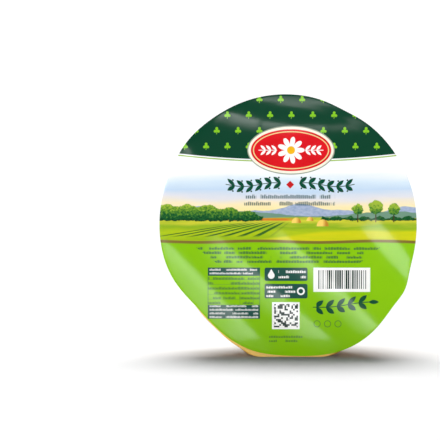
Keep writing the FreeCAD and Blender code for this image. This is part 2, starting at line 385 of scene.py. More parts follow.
def ring_skin(name, rings, **attributes):
    """Closed surface through rings of points, shaped (rings, points, 3), with a pole in the middle of
    the first ring and of the last. Attributes hold a value, or a vector, for each point of the rings."""
    count, around = rings.shape[:2]
    points, quads = with_poles(rings), ring_quads(count, around)
    step = np.arange(around)
    following = (step + 1) % around
    last = (count - 1) * around
    pole = np.full(around, count * around)
    caps = np.concatenate([np.stack([pole, following, step], axis=-1),
                           np.stack([pole + 1, last + step, last + following], axis=-1)])
    a, b, c, d = points[quads].transpose(1, 0, 2)
    if (a * (np.cross(b, c) + np.cross(c, d))).sum() < 0:
        quads, caps = quads[:, ::-1], caps[:, ::-1]
    spread = [(title, with_poles(np.atleast_3d(values))) for title, values in attributes.items()]
    return new_piece(name, place(points), quads.tolist() + caps.tolist(), 50, spread)


def finish_piece(piece, material, node):
    """Gives a piece its material, sets it to ride on the root body, and hides the CAD part that it stands
    for.
    """
    piece.data.materials.append(material)
    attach(piece, "root")
    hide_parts(node)


# ---------------------------------------------------------------- shader nodes


def arithmetic(operation):
    """The operator for an operation on a wire, and its reflected form."""

    def forward(wire, other):
        return wire.apply(operation, other)

    def reflected(wire, other):
        return wire.plan.maths(operation, (other, wire))

    return forward, reflected


class Wire:
    """One output of a shader node. Arithmetic on it adds a Math node, or a Vector Math node where it
    is a vector or meets a tuple."""

    def __init__(self, plan, socket):
        self.plan = plan
        self.socket = socket
        self.vector = socket.type == "VECTOR"

    def apply(self, operation, *others, clamp=False):
        """Adds the node for one operation on this wire and the others."""
        return self.plan.maths(operation, (self, *others), clamp)

    __add__, __radd__ = arithmetic("ADD")
    __sub__, __rsub__ = arithmetic("SUBTRACT")
    __mul__, __rmul__ = arithmetic("MULTIPLY")
    __truediv__, __rtruediv__ = arithmetic("DIVIDE")

    def __neg__(self):
        return self.apply("MULTIPLY", -1.0)

    def __pow__(self, other):
        return self.apply("POWER", other)

    def __abs__(self):
        return self.apply("ABSOLUTE")

    def __or__(self, other):
        """The larger of two values, which joins two masks."""
        return self.apply("MAXIMUM", other)

    def clamped(self):
        """The value kept from 0 to 1."""
        return self.apply("ADD", 0.0, clamp=True)

    def sine(self):
        return self.apply("SINE")

    def floor(self):
        return self.apply("FLOOR")

    def length(self):
        return self.apply("LENGTH")


class Plan:
    """A material's node tree."""

    SCALARS = {"LENGTH", "DISTANCE", "DOT_PRODUCT"}

    def __init__(self, name, tree=None):
        if tree is None:
            self.material = bpy.data.materials.new(name)
            self.material.use_nodes = True
            tree = self.material.node_tree
        self.tree = tree
        self.tree.nodes.clear()

    def node(self, kind, sockets, **settings):
        """Adds a node: its settings are set first, then its sockets get values or links."""
        made = self.tree.nodes.new(kind)
        for key, value in settings.items():
            setattr(made, key, value)
        for key, value in sockets.items():
            if isinstance(value, Wire):
                self.tree.links.new(value.socket, made.inputs[key])
            else:
                made.inputs[key].default_value = value
        return made

    def take(self, kind, output=0, sockets=None, **settings):
        """Adds a node and returns one of its outputs as a wire."""
        return Wire(self, self.node(kind, sockets or {}, **settings).outputs[output])

    def maths(self, operation, values, clamp=False):
        """Adds a Math or Vector Math node for one operation."""
        vector = any(isinstance(v, tuple) or isinstance(v, Wire) and v.vector for v in values)
        if not vector:
            return self.take("ShaderNodeMath", 0, dict(enumerate(values)), operation=operation,
                             use_clamp=clamp)
        values = [(v, v, v) if isinstance(v, (int, float)) else v for v in values]
        output = 1 if operation in self.SCALARS else 0
        return self.take("ShaderNodeVectorMath", output, dict(enumerate(values)), operation=operation)

    def position(self):
        """Object coordinates in millimetres, as a vector."""
        return self.take("ShaderNodeTexCoord", 3) * (1 / MM, 1 / MM, 1 / MM)

    def split(self, vector):
        """The three parts of a vector."""
        made = self.node("ShaderNodeSeparateXYZ", {0: vector})
        return [Wire(self, made.outputs[i]) for i in range(3)]

    def join(self, x=0.0, y=0.0, z=0.0):
        """A vector of three values."""
        return self.take("ShaderNodeCombineXYZ", 0, {0: x, 1: y, 2: z})

    def mix(self, share, first, second):
        """The first colour where share is 0 and the second where it is 1."""
        return self.take("ShaderNodeMix", 2, {0: share, 6: first, 7: second}, data_type="RGBA")

    def over(self, base, *layers):
        """A base colour with layers laid over it in turn, each a mask and a colour."""
        for mask, colour in layers:
            base = self.mix(mask, base, colour)
        return base

    def noise(self, vector, scale, detail=2.0, roughness=0.5):
        """Noise from 0 to 1 at a vector."""
        return self.take("ShaderNodeTexNoise", 0, {"Vector": vector, "Scale": scale, "Detail": detail,
                                                   "Roughness": roughness})

    def chance(self, vector):
        """A random number from 0 to 1 for each different vector."""
        return self.take("ShaderNodeTexWhiteNoise", 0, {"Vector": vector})

    def ramp(self, share, stops):
        """A colour ramp with stops (place, colour)."""
        made = self.node("ShaderNodeValToRGB", {0: share})
        elements = made.color_ramp.elements
        while len(elements) < len(stops):
            elements.new(0.5)
        for element, (spot, colour) in zip(elements, stops):
            element.position = spot
            element.color = colour
        return Wire(self, made.outputs[0])

    def inked(self, name, output=2):
        """A number kept on the mesh's points or, as output 1, a vector."""
        return self.take("ShaderNodeAttribute", output, attribute_name=name)

    def bump(self, height, strength, distance):
        """Normals bent by a height."""
        return self.take("ShaderNodeBump", 0,
                         {"Height": height, "Strength": strength, "Distance": distance})

    def surface(self, sockets):
        """The Principled shader with its sockets' values or links."""
        return self.take("ShaderNodeBsdfPrincipled", 0, sockets)

    def blend_shaders(self, share, first, second):
        """The first shader where share is 0 and the second where it is 1."""
        return self.take("ShaderNodeMixShader", 0, {0: share, 1: first, 2: second})

    def output(self, shader):
        """Ends the tree."""
        self.node("ShaderNodeOutputMaterial", {0: shader})
        return self.material


# ---------------------------------------------------------------- printed shapes


def inside(distance, soft=0.12):
    """1 where a distance in millimetres is below 0, and 0 above, with a soft edge."""
    return distance.apply("MULTIPLY_ADD", -1 / soft, 0.5, clamp=True)


def span(value, low, high, soft=0.12):
    """1 where a value lies between two bounds."""
    return inside(abs(value - (low + high) / 2) - (high - low) / 2, soft)


def spot(flat, x, y, radius, soft=0.12):
    """A round spot."""
    return inside(flat.apply("DISTANCE", (x, y, 0.0)) - radius, soft)


def oval(flat, x, y, half_width, half_height, soft=0.12):
    """A filled ellipse."""
    scaled = (flat - (x, y, 0.0)) * (1 / half_width, 1 / half_height, 0.0)
    return inside((scaled.length() - 1.0) * min(half_width, half_height), soft)


def plate(flat, left, right, bottom, top, corner=0.14, soft=0.12):
    """A filled rectangle with rounded corners."""
    middle = ((left + right) / 2, (bottom + top) / 2, 0.0)
    half = ((right - left) / 2 - corner, (top - bottom) / 2 - corner, 0.0)
    out = (abs(flat - middle) - half).apply("MAXIMUM", (0.0, 0.0, 0.0))
    return inside(out.length() - corner, soft)


def leaf(x, y, angle, length, width):
    """A pointed leaf from the origin along angle: its half width at s along it is
    4 width s (length - s) / length^2."""
    turn = math.radians(angle)
    along = x * math.cos(turn) + y * math.sin(turn)
    across = y * math.cos(turn) - x * math.sin(turn)
    return inside(abs(across) - along * (length - along) * (4 * width / length ** 2))


def wrap(value, period):
    """A value brought within half a period either side of 0."""
    return value.apply("WRAP", period / 2, -period / 2)


def lobed(x, y, count, start=0.0):
    """A wave from 0 to 1 round the origin, with a number of lobes."""
    bearing = y.apply("ARCTAN2", x) + start
    return abs((bearing * (count / 2)).apply("COSINE"))


def leaf_row(x, y, pitch, angle, length, width):
    """Leaves that branch off from the line y = 0, one at each pitch along it."""
    return leaf(wrap(x - pitch / 2, pitch) + pitch / 2, y, angle, length, width)


def greeked(plan, u, v, top, pitch, height, letter, seed):
    """Rows of small strokes of uneven height, with gaps, that stand for lines of small print."""
    row = ((top - v) / pitch).floor()
    down = (top - v) - row * pitch
    cell = (u / letter).floor()
    stroke = plan.chance(plan.join(cell, row, seed))
    words = plan.noise(plan.join(u * (0.16 / letter), row * 7.3, seed), 1.0, 0.0)
    tall = down - 0.38 * (1.0 - stroke) * height
    body = inside(-tall, 0.2) * inside(down - height, 0.2)
    gap = inside(abs(wrap(u, letter)) - letter * 0.36)
    return body * gap * inside(words - 0.6, 0.04)


DEEP_GREEN = paint(6, 64, 42)
INK = paint(30, 84, 58)
WHITE = paint(252, 252, 250)


def print_sky(plan, flat, v):
    """White sky over blue haze and a peach horizon, with soft streaks of cloud."""
    drift = plan.noise(flat * (0.018, 0.1, 1.0), 1.0, 3.0) - 0.5
    return plan.ramp((v - 6.0) / 26.0 + drift * 0.34, (
        (0.0, paint(253, 232, 160)), (0.14, paint(252, 234, 186)), (0.26, paint(226, 226, 232)),
        (0.4, paint(196, 218, 240)), (0.56, paint(216, 233, 247)), (0.74, paint(250, 252, 254))))


def print_hills(plan, base, flat, u, v):
    """Two rows of rolling hills in blue and grey green along the horizon."""
    rough = plan.noise(flat * (0.22, 0.1, 1.0), 1.0, 4.0) - 0.5
    far = v - (7.6 + 1.9 * (u * 0.105 + 0.9).sine() + 0.8 * (u * 0.27).sine() + rough * 1.4)
    near = v - (5.4 + 1.2 * (u * 0.085 + 3.6).sine() + rough * 1.2)
    mottle = plan.noise(flat * (0.5, 0.9, 1.0), 1.0, 4.0)
    return plan.over(
        base,
        (inside(far, 0.3), plan.mix(mottle, paint(120, 142, 184), paint(196, 208, 228))),
        (inside(near, 0.3), paint(112, 150, 128)))


def print_fields(plan, base, flat, u, v):
    """Meadows with curved edges, a strip of ripe grain and a ploughed fan of furrows."""
    haze = plan.noise(flat * (0.05, 0.4, 1.0), 1.0, 4.0)
    meadow = plan.ramp((v + 8.0) / 12.0 + (haze - 0.5) * 0.5, (
        (0.0, paint(140, 182, 20)), (0.35, paint(178, 200, 24)), (0.62, paint(140, 178, 34)),
        (0.85, paint(214, 210, 60)), (1.0, paint(150, 176, 54))))
    top = v - (3.4 + 0.5 * (u * 0.09 + 1.0).sine())
    grain = span(v, 2.1, 3.3, 0.3) * span(u, -30.0, 2.0, 6.0)
    slope = (u - 6.0) / (5.6 - v)
    rows = (slope * 9.0).sine() + (haze - 0.5) * 0.8
    fan = span(slope, -6.4, -1.4, 0.5) * span(v, -5.4, 1.2, 1.2)
    sweep = v - (-5.2 + 0.055 * u + 1.1 * (u * 0.07).sine())
    return plan.over(
        base,
        (inside(top, 0.2), meadow),
        (grain, plan.mix(haze, paint(196, 96, 30), paint(232, 152, 60))),
        (inside(0.25 - rows, 0.5) * fan, paint(58, 104, 36)),
        (inside(sweep, 1.2), plan.mix(haze, paint(226, 214, 24), paint(186, 204, 20))))


def print_trees(plan, base, flat, u, v):
    """A wood that runs in from the left, three round trees and a hedge on the right, and hay ricks."""
    shake = plan.take("ShaderNodeTexNoise", 1, {"Vector": flat, "Scale": 0.55, "Detail": 3.0})
    ragged = flat + (shake - (0.5, 0.5, 0.5)) * (2.4, 2.4, 0.0)
    x, y, _ = plan.split(ragged)
    leafy = plan.noise(flat, 0.9, 4.0, 0.7)
    foliage = plan.ramp(leafy + (y - 4.5) * 0.055, (
        (0.3, paint(8, 60, 30)), (0.5, paint(22, 92, 44)), (0.66, paint(96, 148, 42)),
        (0.8, paint(160, 186, 60))))
    crown_top = 9.6 - 0.00004 * (x + 62.0) ** 3 + 0.7 * (x * 0.62).sine()
    wood = inside(y - crown_top, 0.25) * inside(1.9 - y, 0.3) * inside(x + 12.0, 0.5)
    hedge = inside(y - (3.9 + 0.5 * (x * 0.9).sine()), 0.25) * inside(2.2 - y, 0.3)
    trunks = span(wrap(u - 42.0, 8.6), -0.28, 0.28) * span(v, 1.4, 6.0) * span(u, 30.0, 56.0)
    trees = ((33.4, 7.6, 2.7), (42.0, 8.6, 3.5), (50.6, 7.8, 2.9))
    base = plan.over(
        base,
        (wood, foliage),
        (hedge * inside(16.0 - x, 0.5), foliage),
        (trunks, paint(64, 58, 30)),
        *((oval(ragged, centre, height, size, size * 0.94, 0.25), foliage)
          for centre, height, size in trees))
    for centre, low, size in ((4.0, 1.0, 2.3), (10.5, 2.0, 1.7), (16.6, -0.6, 2.9)):
        lit = inside(centre + 0.25 * size - u, 1.8)
        straw = plan.mix(lit, paint(250, 212, 104), paint(196, 134, 44))
        base = plan.mix(oval(flat, centre, low, size, size * 1.15) * inside(low - v), base, straw)
    return base


def print_cap(plan, base, u, v):
    """Deep green cap over a shallow arc, sown with small clovers in staggered rows."""
    arch = v - (31.3 + 0.0011 * u * u)
    cap = inside(-arch)
    row = ((v - 34.4) / 7.5).floor()
    x = wrap(u + row.apply("PINGPONG", 1.0) * 5.1 - 1.6, 10.2)
    y = v - 37.9 - row * 7.5
    clover = plan.join(x, y).length() - (0.45 + 1.15 * lobed(x, y, 3, -math.pi / 2))
    stalk = span(x + 0.16 * (y + 1.0) ** 2, -0.16, 0.16) * span(y, -1.9, 0.0)
    return plan.over(
        base,
        (cap, DEEP_GREEN),
        (span(arch, -1.15, -0.55), paint(150, 186, 70)),
        ((inside(clover) | stalk) * cap, paint(132, 200, 36)))


def print_seal(plan, base, flat, x0, y0, size, sprigs=True):
    """Red oval seal with pale and gold rings, a daisy in the middle and, where it is large, a sprig on
    either side."""
    outer, pale, red, gold, inner = (
        oval(flat, x0, y0, half_width * size, half_height * size)
        for half_width, half_height in ((20.9, 11.7), (20.4, 11.2), (19.2, 10.0), (18.2, 9.1), (17.7, 8.6)))
    shine = plan.mix(plan.noise(flat, 0.06 / size, 1.0), paint(196, 12, 24), paint(240, 26, 36))
    x, y, _ = plan.split((flat - (x0, y0, 0.0)) * (1 / size, 1 / size, 0.0))
    distance = plan.join(x, y).length()
    base = plan.over(
        base,
        (outer, paint(150, 160, 140)),
        (pale, paint(246, 240, 222)),
        (red, shine),
        (gold - inner, paint(240, 214, 150)),
        (inside(distance - (2.5 + 4.0 * lobed(x, y, 9) ** 0.7)), WHITE),
        (inside(distance - 1.9), paint(246, 186, 30)))
    if not sprigs:
        return base
    side = abs(x) - 6.9
    vane = leaf_row(side, abs(y) - 0.1, 2.6, 42.0, 3.3, 0.62) * span(side, 0.0, 7.9)
    stem = span(y, -0.17, 0.17) * span(side, -0.2, 8.6)
    return plan.mix(vane | stem, base, WHITE)


def print_garland(plan, base, u, v):
    """A long leafy garland below the seal, with a small diamond in its middle."""
    x = abs(u - 1.0)
    y = v - 19.4 - 0.9 * (x * 0.21).sine()
    vane = leaf_row(x, abs(y), 4.4, 38.0, 4.6, 0.95)
    bead = spot(plan.join(wrap(x - 2.2, 4.4), abs(y)), -1.2, 2.6, 0.42)
    return plan.over(
        base,
        ((vane | span(y, -0.2, 0.2) | bead) * span(x, 4.36, 30.84), paint(10, 74, 52)),
        (inside(x + abs(v - 19.4) - 1.9), paint(196, 30, 34)))


def print_panels(plan, base, flat, u, v):
    """The lower field: lines of small print, a ruled table, two dark panels, a bar field and a
    field of dots, as plain shapes."""
    dark = paint(34, 82, 72)
    lines = greeked(plan, u, v, -10.4, 2.1, 1.45, 0.74, 3.0) * plate(flat, -47.0, 48.0, -18.6, -10.0)
    table = plate(flat, -38.4, -13.4, -45.0, -20.4)
    rules = span(wrap(v + 26.2, 2.35), -0.07, 0.07) | span(abs(u + 19.8) - 3.2, -0.07, 0.07)
    ends = (inside(-24.4 - v) | inside(v + 38.4)) * table
    edge = table - plate(flat, -38.2, -13.6, -44.8, -20.6)
    cells = greeked(plan, u, v, -24.9, 2.35, 1.35, 0.7, 11.0) * table * (1.0 - ends)
    notes = greeked(plan, u, v, -20.9, 1.75, 1.0, 0.66, 17.0) * ends * span(u, -37.6, -14.2)
    panels = plate(flat, -11.2, 9.4, -26.8, -20.4, 0.9) | plate(flat, -11.2, 9.4, -35.2, -28.2, 0.9)
    words = greeked(plan, u, v, -21.6, 2.5, 1.4, 0.86, 23.0) * plate(flat, -4.6, 8.6, -26.2, -21.2)
    more = greeked(plan, u, v, -29.2, 2.1, 1.2, 0.8, 29.0) * plate(flat, -10.4, 3.6, -34.6, -28.8)
    drop = spot(flat, -8.0, -24.2, 1.6) | inside(abs(u + 8.0) * 1.7 + abs(v + 23.4) - 2.3)
    ring = spot(flat, 6.2, -31.7, 1.9) - spot(flat, 6.2, -31.7, 1.1)
    cell = (u / 1.02).floor()
    bars = abs(u - (cell + 0.5) * 1.02) - (0.06 + 0.4 * plan.chance(plan.join(cell, 5.0)))
    dots = plan.chance((flat * (1 / 0.82, 1 / 0.82, 0.0)).floor())
    foot = greeked(plan, u, v, -53.0, 2.0, 1.2, 0.8, 31.0) * plate(flat, -9.0, 8.0, -56.9, -52.6)
    return plan.over(
        base,
        (lines * inside(abs(u) - (58.0 + 1.3 * v)) * 0.9, INK),
        (rules * table * 0.6 | edge | ends, dark),
        (cells * 0.75, INK),
        (notes * 0.8, WHITE),
        (panels, dark),
        (words | more | drop | ring, WHITE),
        (plate(flat, 12.2, 39.4, -32.0, -20.4), WHITE),
        (inside(bars) * plate(flat, 14.28, 37.74, -30.6, -21.6), paint(20, 52, 44)),
        (plate(flat, -7.6, 5.6, -50.0, -37.0), WHITE),
        (inside(0.52 - dots, 0.05) * plate(flat, -6.7, 4.8, -49.1, -37.9), paint(16, 44, 38)),
        (foot * 0.7, INK))


def print_sprig(plan, base, u, v):
    """A large sprig of leaves at the lower right, and three small rings below it."""
    x = u - 13.0
    y = v + 39.4 - 0.08 * x + 0.5 * (x * 0.2).sine()
    vane = leaf_row(x, abs(y), 5.2, 40.0, 5.2, 1.15) * span(x, 0.6, 26.0)
    stem = span(y, -0.22, 0.22) * span(x, -1.0, 26.0)
    ring = abs(plan.join(wrap(u - 19.0, 5.0), v + 47.4).length() - 1.5) - 0.16
    return plan.over(
        base,
        (vane | stem | leaf(x - 25.6, y, 0.0, 5.0, 1.0), paint(14, 78, 50)),
        (inside(ring) * span(u, 11.0, 26.4) * 0.8, INK))


def lid_print(plan):
    """Colour of the printed side, in millimetres from the middle of the lid."""
    u, _, height = plan.split(plan.position())
    v = height - AXIS_HEIGHT
    flat = plan.join(u, v)
    base = print_sky(plan, flat, v)
    for draw in (print_hills, print_fields, print_trees):
        base = draw(plan, base, flat, u, v)
    path = v + 7.9 + 0.35 * (u * 0.11).sine()
    mist = plan.noise(flat * (0.03, 0.03, 1.0), 1.0, 2.0)
    base = plan.over(
        base,
        (inside(path, 0.3), plan.mix(mist, paint(126, 190, 0), paint(146, 206, 14))),
        (span(path, -0.75, 0.65, 0.25), paint(128, 110, 46)))
    base = print_panels(plan, base, flat, u, v)
    for draw in (print_sprig, print_cap, print_garland):
        base = draw(plan, base, u, v)
    small = greeked(plan, u, v, 14.7, 3.3, 2.0, 0.95, 7.0) * plate(flat, -21.0, 22.5, 8.6, 14.9)
    return print_seal(plan, plan.mix(small * 0.85, base, paint(40, 84, 84)), flat, 1.4, 35.9, 1.0)


# ---------------------------------------------------------------- materials


def butter_material(pack):
    """Waxy butter: cream where it is drawn tight, turned ochre by painted shade in the ledges' hollows and
    towards the floor, with random tones, paler under the film's milky patches, with light that goes some way
    in and a fine uneven skin."""
    plan = Plan("pressed_butter")
    place_mm = plan.position()
    _, _, z = plan.split(place_mm)
    # Painted shade in the ledges' hollows, with a random tone for each flat, kept on the mesh.
    fold = plan.inked("fold_tint")
    cloud = plan.noise(place_mm, 0.035, 3.0)
    grain = plan.noise(place_mm, 0.35, 4.0, 0.6)
    # Painted shade: the butter turns deeper ochre towards the floor, from 52 mm high downwards.
    low = ((52.0 - z) / 51.0).clamped() ** 1.3
    depth = (fold * 1.1 + low * 0.9 + (cloud - 0.42) * 0.6 + (grain - 0.5) * 0.1).clamped()
    light, middle, deep = (tuple(c) + (1.0,) for c in (pack.butter_light, pack.butter_middle,
                                                       pack.butter_deep_shade))
    colour = plan.ramp(depth, ((0.0, light), (0.38, middle), (1.0, deep)))
    along = place_mm.apply("DOT_PRODUCT", DRAWN)
    drawn = place_mm - plan.join(along, along, along) * tuple(0.8 * part for part in DRAWN)
    streaks = plan.noise(drawn, 0.22, 1.5, 0.5)
    milky = (plan.inked("haze") * (streaks - 0.34) * 5.0).clamped()
    colour = plan.mix(milky * 0.9, colour, paint(250, 234, 208))
    bumps = plan.bump(grain * 0.6 + plan.noise(place_mm, 1.6, 3.0) * 0.25, 0.35, 0.0006)
    shader = plan.surface({
        "Base Color": colour, "Roughness": 0.42 + 0.2 * grain, "Normal": bumps,
        "Subsurface Weight": 0.45, "Subsurface Radius": (1.0, 0.75, 0.35), "Subsurface Scale": 0.009,
        "Specular IOR Level": 0.4})
    return plan.output(shader)


def film_material(pack):
    """Clear glossy film: see-through head on, bright at a glancing angle, milky where it stands off
    the butter and in fine streaks."""
    plan = Plan("clear_vacuum_film")
    place_mm = plan.position()
    haze = plan.inked("haze")
    streaks = plan.noise(place_mm * (1.0, 0.3, 1.0), 0.12, 1.0, 0.4)
    wrinkles = plan.noise(place_mm * (1.0, 1.0, 0.45), 0.12, 2.0, 0.5)
    veil = haze * ((streaks - 0.2) * 1.6).clamped() * pack.film_haze
    rim = plan.take("ShaderNodeLayerWeight", 1, {0: 0.22})
    share = (0.035 + 0.45 * rim ** 2.2 + veil).clamped()
    gloss = plan.surface({
        "Base Color": (1.0, 0.95, 0.84, 1.0), "Roughness": 0.2 + 0.3 * haze, "IOR": 1.5,
        "Coat Weight": 0.35, "Coat Roughness": 0.1, "Normal": plan.bump(wrinkles, 0.3, 0.002)})
    clear = plan.take("ShaderNodeBsdfTransparent")
    return plan.output(plan.blend_shaders(share, clear, gloss))


def pinch_material():
    """Pinched film, thin and shiny: whitish along each crest, partly its own whiteness and partly a painted
    highlight, with a faint painted glow.
    """
    plan = Plan("pinched_film")
    ragged = plan.noise(plan.position(), 0.9, 3.0)
    # The whitish base is partly the pinched film's own colour and partly a painted highlight; the weak
    # emission is a painted glow.
    gloss = plan.surface({
        "Base Color": (1.0, 0.98, 0.94, 1.0), "Roughness": 0.3 + 0.2 * ragged, "Coat Weight": 0.5,
        "Coat Roughness": 0.08, "Emission Color": (1.0, 0.98, 0.94, 1.0), "Emission Strength": 0.06,
        "Normal": plan.bump(ragged, 0.3, 0.0005)})
    clear = plan.take("ShaderNodeBsdfTransparent")
    share = plan.inked("crest_highlight") * (0.25 + 0.75 * ragged)
    return plan.output(plan.blend_shaders(share, clear, gloss))


def lid_material():
    """Lid film: glossy print in front, pale green back with a milky sealed rim behind."""
    plan = Plan("printed_lid_film")
    front = lid_print(plan)
    place_mm = plan.position()
    back_side, rim = plan.inked("back_side"), plan.inked("rim_share")
    blotch = plan.noise(place_mm, 0.06, 2.0)
    back = plan.mix(blotch, paint(204, 222, 172), paint(216, 229, 190))
    back = plan.mix(inside(0.966 - rim, 0.012), back, paint(228, 231, 229))
    colour = plan.mix(back_side, front, back)
    wrinkle = plan.noise(place_mm * (1.0, 1.0, 0.6), 0.05, 1.0) + 0.02 * plan.noise(place_mm, 0.5, 2.0)
    shader = plan.surface({
        "Base Color": colour, "Roughness": 0.45 + 0.1 * blotch, "Specular IOR Level": 0.0,
        "Coat Weight": 0.14, "Coat Roughness": 0.07, "Coat IOR": 1.5,
        "Normal": plan.bump(wrinkle, 0.04, 0.001)})
    return plan.output(shader)


def label_material():
    """Oval paper label: bright green in the middle to deep green at the edge, a thin pale edge, a
    small red seal above and white sprigs below."""
    plan = Plan("oval_label_print")
    flat = plan.inked("label_place", 1)
    u, v, _ = plan.split(flat)
    away = (flat * (1 / LABEL_HALF_WIDTH, 1 / LABEL_HALF_HEIGHT, 0.0)).length()
    fibre = plan.noise(flat, 0.8, 4.0)
    base = plan.ramp(away + (fibre - 0.5) * 0.03, (
        (0.0, paint(96, 166, 52)), (0.35, paint(58, 134, 52)), (0.72, paint(22, 92, 50)),
        (1.0, paint(16, 78, 46))))
    base = print_seal(plan, base, flat, 0.0, 11.6, 0.4, sprigs=False)
    x = abs(u)
    for low, wide in ((1.8, 12.3), (-5.4, 12.3), (-12.2, 8.5)):
        y = v - low - 0.3 * (x * 0.5).sine()
        vane = leaf_row(x + 1.7, abs(y), 3.8, 38.0, 4.2, 0.9) * span(x, 2.1, wide)
        stem = span(y, -0.2, 0.2) * span(x, 2.1, wide + 0.5)
        base = plan.mix(vane | stem | spot(flat, 0.0, low, 1.05), base, WHITE)
    base = plan.mix(inside(0.972 - away, 0.012), base, paint(206, 218, 196))
    return plan.output(plan.surface({
        "Base Color": base, "Roughness": 0.4 + 0.15 * fibre, "Specular IOR Level": 0.1,
        "Coat Weight": 0.12, "Coat Roughness": 0.1, "Normal": plan.bump(fibre, 0.15, 0.0004)}))


def floor_material():
    """Matt white studio floor with a very faint grain."""
    plan = Plan("studio_floor")
    grain = plan.noise(plan.position(), 0.02, 2.0)
    colour = plan.mix(grain, paint(250, 250, 250), paint(253, 253, 253))
    return plan.output(plan.surface({"Base Color": colour, "Roughness": 0.9 - 0.05 * grain,
                                     "Specular IOR Level": 0.1}))


# ---------------------------------------------------------------- add-on


def size_setting(name, description, size):
    """A length among the settings, given in millimetres."""
    return FloatProperty(name=name, description=description, default=size * MM, unit="LENGTH")


def colour_setting(name, description, *colour):
    """A colour among the settings, given as for paint()."""
    return FloatVectorProperty(name=name, description=description, subtype="COLOR", size=3,
                               default=paint(*colour)[:3])


class ButterPackSettings(bpy.types.PropertyGroup):
    """Sizes and colours of the pack."""

    lid_radius: size_setting("Lid radius", "Mean radius of the lid film", 61.59)
    lump_half_width: size_setting("Half width", "Half the width of the lump", 58.0)
    lump_rise: size_setting("Rise", "Height of the lump above the lid's axis", 58.0)
    lump_drop: size_setting("Drop", "Depth of the lump below the lid's axis", 67.0)
    lump_length: size_setting("Length", "Reach of the lump before its crown is cut", 97.2)
    film_gap: size_setting("Film gap", "Gap between butter and film", 0.18)
    film_haze: FloatProperty(name="Film haze", description="Strength of the milky patches of the film",
                             default=0.3, min=0.0, max=1.0, subtype="FACTOR")
    pinch_count: IntProperty(name="Pinches", description="Pinched creases beyond the named ones",
                             default=12, min=0, max=200)
    butter_light: colour_setting("Tight butter", "Butter where it is drawn tight", 240, 214, 166)
    butter_middle: colour_setting("Butter", "Butter in soft hollows", 241, 203, 130)
    # Colour at full painted shade, in the ledges' hollows and near the floor.
    butter_deep_shade: colour_setting("Folded butter", "Butter deep in the folds", 248, 184, 32)


class PACK_OT_butter_lump(bpy.types.Operator):
    """Build the lump of butter"""

    bl_idname = "pack.butter_lump"
    bl_label = "Butter Lump"

    def execute(self, context):
        pack = context.scene.butter_pack
        way = skin_ways(0.0, 176)
        reach, relief, tint = lump_layers(way, pack)
        skin = way * (reach - relief)[..., None]
        face = skin[:1] * np.array([0.02, 0.5, 0.9, 0.985])[:, None, None]
        face[..., 1] = FACE_GAP
        rings = settle(np.concatenate([face, skin]), FACE_GAP)
        rings[..., 1] = np.maximum(rings[..., 1], FACE_GAP)
        tint, haze = (np.concatenate([np.repeat(values[:1], len(face), axis=0), values])
                      for values in (tint, milky_share(way)))
        # The fold attribute carries painted shade in the ledges' hollows and a random tone for each flat.
        piece = ring_skin("butter_lump", rings, fold_tint=tint, haze=haze)
        finish_piece(piece, butter_material(pack), "filled_dome")
        return {"FINISHED"}


class PACK_OT_clear_film(bpy.types.Operator):
    """Build the clear film drawn over the lump and sealed to the lid"""

    bl_idname = "pack.clear_film"
    bl_label = "Clear Film"

    def execute(self, context):
        pack = context.scene.butter_pack
        inset, seal_gap, foot_width = 0.35, 0.09, 2.6
        way = skin_ways(3.2, 168)
        over = way * film_reach(way, pack)[..., None]
        out = heading(SKIN_TURNS, 0.0)
        rim = rim_radius(SKIN_TURNS, pack)[:, None] - inset
        wall = np.hypot(over[0, :, :1], over[0, :, 2:])
        inner = np.minimum(wall + foot_width, rim - 0.5)
        pleats = 0.14 * ripple(out, seed=21, count=14, low=30, high=70)
        pleats = pleats * (0.5 + 0.5 * ripple(out, seed=22, count=6, low=2, high=6))
        rows = [out * rim * share + [0, depth, 0] for share, depth in FLANGE_FRONT]
        for share in (0.3, 0.6, 0.8, 0.92, 1.0):
            lift = seal_gap + np.abs(pleats)[:, None] * share
            rows.append(out * (rim * (1 - share) + inner * share) + lift * [0, 1, 0])
        start, knee = rows[-1], out * np.minimum(wall, rim - 0.4) + [0, 0.12, 0]
        for share in (0.2, 0.4, 0.6, 0.8):
            rows.append(start * (1 - share) ** 2 + knee * 2 * share * (1 - share) + over[0] * share ** 2)
        rings = settle(np.concatenate([rows, over]))
        haze = np.zeros(rings.shape[:2])
        haze[len(FLANGE_FRONT):len(rows)] = 0.12
        haze[len(rows):] = milky_share(way)
        piece = ring_skin("clear_film", rings, haze=haze)
        finish_piece(piece, film_material(pack), "filled_dome")
        return {"FINISHED"}


